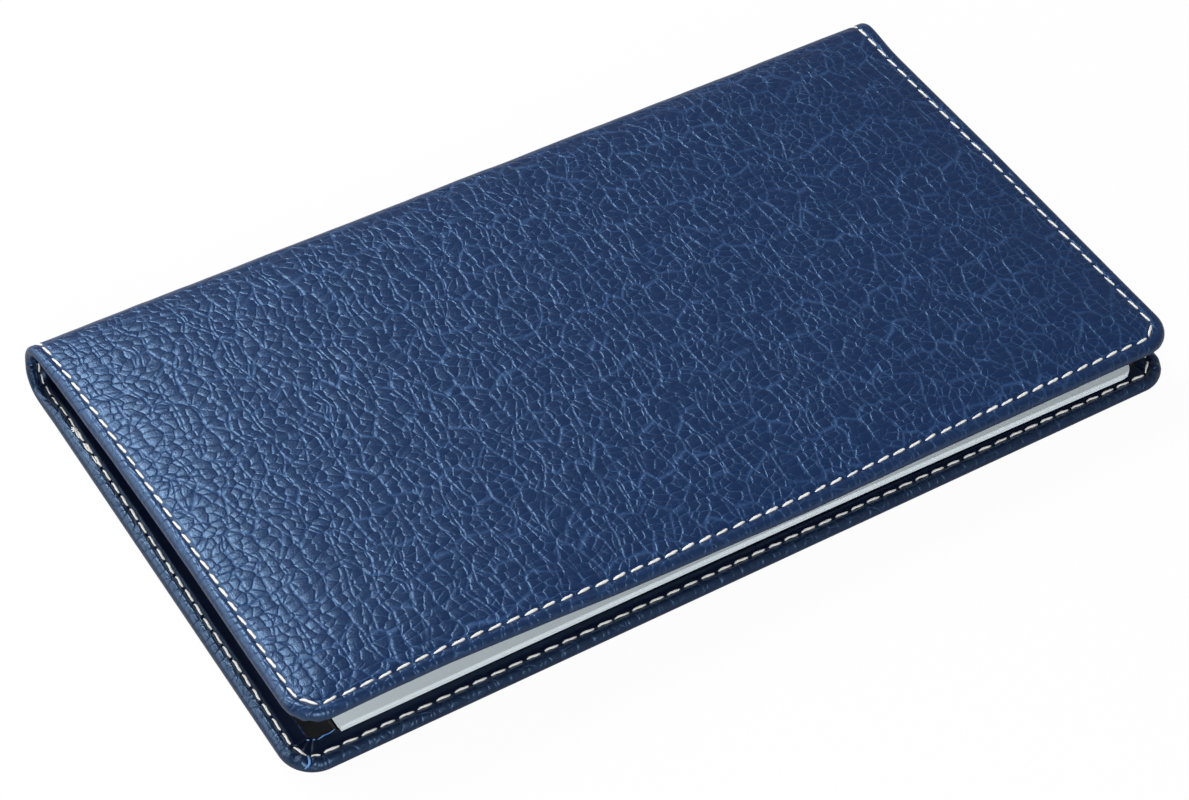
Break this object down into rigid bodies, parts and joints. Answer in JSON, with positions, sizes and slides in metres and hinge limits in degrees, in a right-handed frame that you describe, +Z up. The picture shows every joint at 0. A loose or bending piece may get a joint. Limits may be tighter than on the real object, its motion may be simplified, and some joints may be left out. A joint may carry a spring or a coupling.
{
  "type": "folding pocket calendar",
  "caption": "Leather pocket calendar that folds at its spine: two padded covers with turned edges and a thin stapled calendar tucked into their pockets.",
  "frame": {"origin": "middle of the underside of the closed calendar", "axes": "+X along the spine, +Y from the opening edge to the spine, +Z up out of the front cover"},
  "size_m": [0.171, 0.095, 0.0137],
  "materials": {
    "leather": "pebble grain, satin",
    "board": "matt",
    "padding": "matt",
    "lining": "matt",
    "pocket_panel": "gloss",
    "card": "matt",
    "paper": "matt",
    "wire": "bright"
  },
  "bodies": {
    "back_cover": {"back_leather": "leather", "back_board": "board", "back_lining": "lining", "back_pocket_panel": "pocket_panel", "calendar_back_card": "card"},
    "spine": {"spine_leather": "leather", "spine_lining": "lining", "calendar_spine_card": "card", "staple_1": "wire", "staple_2": "wire"},
    "front_cover": {"front_leather": "leather", "front_padding": "padding", "front_board": "board", "front_lining": "lining", "front_pocket_panel": "pocket_panel", "calendar_front_card": "card"},
    "flyleaf": {"calendar_flyleaf": "card"},
    "leaf_1": {"calendar_leaf_1": "paper"},
    "leaf_2": {"calendar_leaf_2": "paper"},
    "leaf_3": {"calendar_leaf_3": "paper"},
    "leaf_4": {"calendar_leaf_4": "paper"},
    "leaf_5": {"calendar_leaf_5": "paper"},
    "leaf_6": {"calendar_leaf_6": "paper"}
  },
  "joints": [
    {"name": "spine_fold", "type": "hinge", "parent": "back_cover", "child": "spine", "pos_m": [0, 0.04656, 0.00094], "axis": [-1, 0, 0], "range_deg": [0, 88]},
    {"name": "cover_fold", "type": "hinge", "parent": "spine", "child": "front_cover", "pos_m": [0, 0.04656, 0.01006], "axis": [-1, 0, 0], "range_deg": [0, 88]},
    {"name": "leaf_1_fold", "type": "hinge", "parent": "spine", "child": "leaf_1", "pos_m": [0, 0.0439, 0.00305], "axis": [-1, 0, 0], "range_deg": [-85.37, 0]},
    {"name": "leaf_2_fold", "type": "hinge", "parent": "spine", "child": "leaf_2", "pos_m": [0, 0.04365, 0.00327], "axis": [-1, 0, 0], "range_deg": [-83.61, 0]},
    {"name": "leaf_3_fold", "type": "hinge", "parent": "spine", "child": "leaf_3", "pos_m": [0, 0.0434, 0.00349], "axis": [-1, 0, 0], "range_deg": [-80.97, 0]},
    {"name": "leaf_4_fold", "type": "hinge", "parent": "spine", "child": "leaf_4", "pos_m": [0, 0.0434, 0.00371], "axis": [-1, 0, 0], "range_deg": [0, 77.45]},
    {"name": "leaf_5_fold", "type": "hinge", "parent": "spine", "child": "leaf_5", "pos_m": [0, 0.04365, 0.00393], "axis": [-1, 0, 0], "range_deg": [0, 80.09]},
    {"name": "leaf_6_fold", "type": "hinge", "parent": "spine", "child": "leaf_6", "pos_m": [0, 0.0439, 0.00415], "axis": [-1, 0, 0], "range_deg": [0, 81.85]},
    {"name": "flyleaf_fold", "type": "hinge", "parent": "spine", "child": "flyleaf", "pos_m": [0, 0.04423, 0.00449], "axis": [-1, 0, 0], "range_deg": [0, 84.49]}
  ],
  "couplings": [
    {"joint": "spine_fold", "follows": "cover_fold", "ratio": 1},
    {"joint": "leaf_1_fold", "follows": "cover_fold", "ratio": -0.97},
    {"joint": "leaf_2_fold", "follows": "cover_fold", "ratio": -0.95},
    {"joint": "leaf_3_fold", "follows": "cover_fold", "ratio": -0.92},
    {"joint": "leaf_4_fold", "follows": "cover_fold", "ratio": 0.88},
    {"joint": "leaf_5_fold", "follows": "cover_fold", "ratio": 0.91},
    {"joint": "leaf_6_fold", "follows": "cover_fold", "ratio": 0.93},
    {"joint": "flyleaf_fold", "follows": "cover_fold", "ratio": 0.96}
  ]
}
